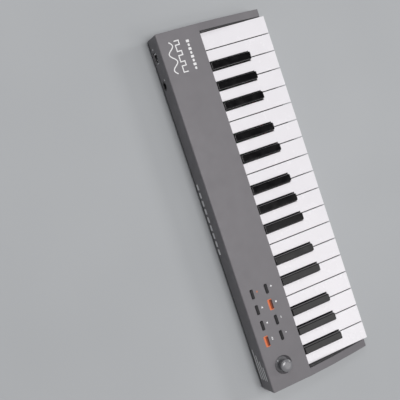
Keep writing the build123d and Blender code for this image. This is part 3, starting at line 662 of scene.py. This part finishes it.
def board(node, parts_above=None):
    """Green solder mask over copper tracks, and black parts where it is higher than parts_above."""
    material, nodes_of, links_of, shader = node_material(node + "_finish")
    place = nodes_of.new("ShaderNodeTexCoord")
    tracks = nodes_of.new("ShaderNodeTexBrick")
    tracks.inputs["Scale"].default_value = TRACKS_PER_METRE
    tracks.inputs["Color1"].default_value = BOARD_GREEN
    tracks.inputs["Color2"].default_value = BOARD_SHADE
    tracks.inputs["Mortar"].default_value = TRACK_GREEN
    tracks.inputs["Mortar Size"].default_value = TRACK_WIDTH
    links_of.new(place.outputs["Object"], tracks.inputs["Vector"])
    skin = tracks.outputs["Color"]
    if parts_above:
        axes_of = nodes_of.new("ShaderNodeSeparateXYZ")
        links_of.new(place.outputs["Object"], axes_of.inputs["Vector"])
        higher = nodes_of.new("ShaderNodeMath")
        higher.operation = "GREATER_THAN"
        higher.inputs[1].default_value = parts_above
        links_of.new(axes_of.outputs["Z"], higher.inputs[0])
        fitted = nodes_of.new("ShaderNodeMix")
        fitted.data_type = "RGBA"
        fitted.inputs[7].default_value = PART_BLACK
        links_of.new(higher.outputs["Value"], fitted.inputs[0])
        links_of.new(skin, fitted.inputs[6])
        skin = fitted.outputs[2]
    links_of.new(skin, shader.inputs["Base Color"])
    gloss = noise(nodes_of, links_of, BOARD_SMEAR, 3.0)
    links_of.new(spread(nodes_of, links_of, gloss, *BOARD_SHINE), shader.inputs["Roughness"])
    cover(node, material)


CONTROL_PARTS = 19.02 * MM
MAIN_PARTS = 5.82 * MM
board("contact_board")
board("control_boards", CONTROL_PARTS)
board("main_board", MAIN_PARTS)


# ------------------------------------------------------------------ transport buttons
# Eight charcoal caps in two rows of four. Two of them are lit orange, each with a thin glowing sheet round
# it on the deck:
# painted light for the glow that spills from the button. A small printed sign stands in front of each
# button.

CAP_CHARCOAL = (0.009, 0.0085, 0.010)
CAP_LENGTH = 10.0
CAP_WIDTH = 3.0
CAP_CORNER = 0.8
CAP_FREE = 0.1            # play between a cap and its light guide
LIT_CAPS = ("button_rear_4", "button_front_2")
LIT_BASE = (0.02, 0.006, 0.004, 1.0)
LIT_DIM = (0.045, 0.006, 0.0010)
LIT_BRIGHT = (0.45, 0.072, 0.008)
LIT_FROM = 0.48           # light seeps into a lit cap from here, as a share of its depth
LIT_FULL = 0.80
cap_plastic = moulding("cap_charcoal", CAP_CHARCOAL, 0.42, grain=0.3 * MM, edge_wear_and_painted_light=0.0, gloss=0.25)

lit_plastic, nodes_of, links_of, shader = node_material("cap_lit")
across = nodes_of.new("ShaderNodeSeparateXYZ")
links_of.new(nodes_of.new("ShaderNodeTexCoord").outputs["Generated"], across.inputs["Vector"])
rearward = nodes_of.new("ShaderNodeMapRange")
rearward.inputs["From Min"].default_value = LIT_FROM
rearward.inputs["From Max"].default_value = LIT_FULL
links_of.new(across.outputs["Y"], rearward.inputs["Value"])
seep = two_tone(nodes_of, links_of, rearward.outputs["Result"], LIT_DIM, LIT_BRIGHT)
links_of.new(seep, shader.inputs["Emission Color"])
shader.inputs["Base Color"].default_value = LIT_BASE
shader.inputs["Roughness"].default_value = 0.4
shader.inputs["Specular IOR Level"].default_value = 0.25
shader.inputs["Emission Strength"].default_value = 0.8

# Painted light: an orange emissive sheet laid on the deck round each lit cap, standing for the glow that
# spills from it, widest behind the cap.
SPILL_BASE = (0.20, 0.06, 0.02, 1.0)
SPILL_DIM = (0.55, 0.10, 0.020)
SPILL_BRIGHT = (0.68, 0.15, 0.045)
SPILL_HAZE = 1.5 * MM
glow_spill_paint, nodes_of, links_of, shader = node_material("light_guide_lit")
haze = spread(nodes_of, links_of, noise(nodes_of, links_of, SPILL_HAZE), 0.0, 1.0)
glow = two_tone(nodes_of, links_of, haze, SPILL_DIM, SPILL_BRIGHT)
links_of.new(glow, shader.inputs["Emission Color"])
shader.inputs["Base Color"].default_value = SPILL_BASE
shader.inputs["Roughness"].default_value = 0.5
shader.inputs["Emission Strength"].default_value = 0.75

ORANGE_THIN = (0.42, 0.13, 0.06)
ORANGE_FULL = (0.50, 0.17, 0.08)
ink_orange, nodes_of, links_of, shader = node_material("orange_ink")
patchy = spread(nodes_of, links_of, noise(nodes_of, links_of, INK_PATCHES), 0.0, 1.0)
links_of.new(two_tone(nodes_of, links_of, patchy, ORANGE_THIN, ORANGE_FULL), shader.inputs["Base Color"])
shader.inputs["Roughness"].default_value = 0.55

SPILL_ENDS = 0.8          # how far the painted glow reaches beyond the cap's ends,
SPILL_REAR = 2.0          # behind it
SPILL_FRONT = 0.15        # and in front of it
SPILL_CORNER = 1.0
SPILL_THICK = 0.12 * MM
SIGN_FORWARD = 5.9        # from a cap's middle to the sign in front of it
SIGN_RIGHT = 1.0


def ring(outer, inner):
    """The band between two outlines with the same number of corners."""
    count = len(outer)
    return [
        [outer[n], outer[(n + 1) % count], inner[(n + 1) % count], inner[n]]
        for n in range(count)
    ]


def arrow(u, v, size, way):
    """A triangle that points right for way 1 and left for way -1."""
    back, point, half = u - way * size * 0.5, u + way * size * 0.5, size * 0.58
    return [(back, v - half), (back, v + half), (point, v)]


def sign(name, u, v):
    """The plain sign in front of a button: a dot, a triangle, a square, two triangles, a plus or a bar."""
    return {
        "button_rear_1": [disc(u, v, 1.0)],
        "button_rear_2": [arrow(u, v, 2.1, 1)],
        "button_rear_3": [rounded(u, v, 1.6, 1.6, 0.2)],
        "button_rear_4": [arrow(u - 0.8, v, 1.7, 1), arrow(u + 0.9, v, 1.7, 1)],
        "button_front_1": [
            rounded(u, v, 2.2, 0.75, 0.2),
            rounded(u, v + 0.8, 0.75, 0.8, 0.2),
            rounded(u, v - 0.8, 0.75, 0.8, 0.2),
        ],
        "button_front_2": [disc(u, v, 1.05)],
        "button_front_3": [rounded(u, v, 2.2, 0.7, 0.2)],
        "button_front_4": [arrow(u, v, 1.3, -1)],
    }[name]


for name in nodes:
    if not name.startswith("button_"):
        continue
    lit = name in LIT_CAPS
    cover(name, lit_plastic if lit else cap_plastic)
    low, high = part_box(name)
    middle = (low + high) / 2 / MM
    seat = name.removeprefix("button_")
    spot = sign(name, middle.x + SIGN_RIGHT, middle.y - SIGN_FORWARD)
    printed("sign_" + seat, spot, on_deck, ink_orange if name == "button_rear_1" else ink_white)
    # Round a lit cap: the sheet of painted glow on the deck.
    if lit:
        inner = rounded(middle.x, middle.y, CAP_LENGTH + CAP_FREE, CAP_WIDTH + CAP_FREE, CAP_CORNER)
        outer = rounded(
            middle.x, middle.y + (SPILL_REAR - SPILL_FRONT) / 2,
            CAP_LENGTH + 2 * SPILL_ENDS, CAP_WIDTH + SPILL_REAR + SPILL_FRONT, SPILL_CORNER,
        )
        printed("light_guide_" + seat, ring(outer, inner), on_deck, glow_spill_paint, SPILL_THICK)


# ------------------------------------------------------------------ joystick
# A thumb stick: gloss grey cap and shroud pressed on a steel stick, in a plated housing with a nylon yoke
# and bail. It leans on two axes and springs back to the middle.

NYLON_CREAM = (0.62, 0.61, 0.57)
PLATED_STEEL = (0.70, 0.70, 0.71)
STICK_GREY = (0.20, 0.20, 0.21)
nylon = moulding("nylon", NYLON_CREAM, 0.45, edge_wear_and_painted_light=0.0)
plated = metal("plated_steel", PLATED_STEEL, 0.25)
stick_gloss = moulding("stick_gloss", STICK_GREY, 0.16, grain=2 * MM, depth=0.004 * MM, edge_wear_and_painted_light=0.0)


def arc(centre_r, centre_h, radius, start, end, steps):
    """Points (radius, height) along an arc, with its angles in degrees from straight out."""
    angles = [math.radians(start + (end - start) * n / steps) for n in range(steps + 1)]
    return [(centre_r + radius * math.cos(a), centre_h + radius * math.sin(a)) for a in angles]


SHROUD = 12.0             # radius of the shroud about the pivot
SHROUD_WALL = 1.0
SHROUD_SKIRT = 63         # and how far down it reaches, in degrees from the top
SHROUD_NECK = 72          # angle, up from level, where the neck leaves the shroud
SHROUD_STEPS = 14
CAP_HIGH = 22.0           # top of the cap above the pivot
RIM_LOW = (5.5, 18.2, 1.3)      # middle (radius, height) and radius of the rim's lower arc,
RIM_HIGH = (5.55, 20.0, 1.25)   # its upper arc
CROWN = (2.6, 14.5, 7.5)        # and the crown that meets the flat top
NECK = [(3.3, 12.1), (3.05, 13.0), (3.0, 15.6), (3.4, 16.4), (5.2, 16.9)]
stick_low, stick_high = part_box("joystick_cap")
stick_middle = (stick_low + stick_high) / 2
pivot = Vector((stick_middle.x, stick_middle.y, stick_high.z - CAP_HIGH * MM))
shroud_inside = arc(0, 0, SHROUD - SHROUD_WALL, 90 - SHROUD_SKIRT, 88, SHROUD_STEPS)
shroud_outside = arc(0, 0, SHROUD, 90 - SHROUD_SKIRT, SHROUD_NECK, SHROUD_STEPS)
stick_outline = [(0, SHROUD - SHROUD_WALL)] + shroud_inside[::-1] + shroud_outside + NECK
stick_outline += arc(*RIM_LOW, -70, 0, 5) + arc(*RIM_HIGH, 0, 61, 6)
stick_outline += arc(*CROWN, 62, 90, 8) + [(0, CAP_HIGH)]
stick_top = turned("stick_cap", stick_outline, pivot, stick_gloss)
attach(stick_top, "joystick")
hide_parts("joystick_cap")
cover("joystick_stick", zinc)
cover("joystick_yoke", nylon)
cover("joystick_bail", nylon)
cover("joystick_housing", plated)


# ------------------------------------------------------------------ sockets and leads
# A plated USB receptacle and a moulded pedal jack stand on the main board and show through the rear panel,
# each with its gilt contact leaves inside. Grey flat leads join the boards.

JACK_BLACK = (0.016, 0.016, 0.017)
LEAD_GREY = (0.36, 0.36, 0.37)
GILT = (0.75, 0.52, 0.20)
cover("usb_socket", plated)
cover("pedal_jack", moulding("jack_plastic", JACK_BLACK, 0.35))
cover("ribbon_cables", moulding("lead_grey", LEAD_GREY, 0.5, edge_wear_and_painted_light=0.0))
gilt = metal("gilt_contacts", GILT, 0.22)

SOCKET_DROP = 5.5         # from the receptacle's top to the line of both openings
TONGUE_HALF = 1.6         # half the thickness of the tongue that the leaves lie on
LEAF_APART = 1.25
USB_LEAF = (0.9, 0.15)    # width and thickness
USB_LEAF_ENDS = (9.8, 4.4)      # how far in it starts and ends
USB_LEAF_BEND = (0.0, 0.05, 0.25, 0.3, 0.12, 0.0)
usb_low, usb_high = [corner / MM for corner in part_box("usb_socket")]
usb_x = (usb_low.x + usb_high.x) / 2
socket_z = usb_high.z - SOCKET_DROP
above = [socket_z + TONGUE_HALF + bend for bend in USB_LEAF_BEND]
below = [2 * socket_z - height - USB_LEAF[1] for height in above]
leaf_start, leaf_end = [usb_high.y - inward for inward in USB_LEAF_ENDS]
usb_runs = [
    (usb_x + side * LEAF_APART, line, leaf_start, leaf_end)
    for side in (-1, 1) for line in (above, below)
]
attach(leaves("usb_contacts", usb_runs, *USB_LEAF, gilt), "case")

JACK_BORE = 3.25
JACK_LEAF = (1.4, 0.2)    # width and thickness
TIP_ENDS = (16.0, 8.0)
SLEEVE_ENDS = (6.5, 2.5)
TIP_DROPS = (0.1, 0.15, 0.5, 0.75, 0.5, 0.2, 0.1)
SLEEVE_RISES = (-0.1, 0.1, 0.35, 0.1, -0.1)
jack_low, jack_high = [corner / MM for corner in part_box("pedal_jack")]
jack_x = (jack_low.x + jack_high.x) / 2
tip_line = [socket_z + JACK_BORE - drop for drop in TIP_DROPS]
sleeve_line = [socket_z - JACK_BORE + rise for rise in SLEEVE_RISES]
jack_runs = [
    (jack_x, line, jack_high.y - ends[0], jack_high.y - ends[1])
    for line, ends in ((tip_line, TIP_ENDS), (sleeve_line, SLEEVE_ENDS))
]
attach(leaves("jack_contacts", jack_runs, *JACK_LEAF, gilt), "case")
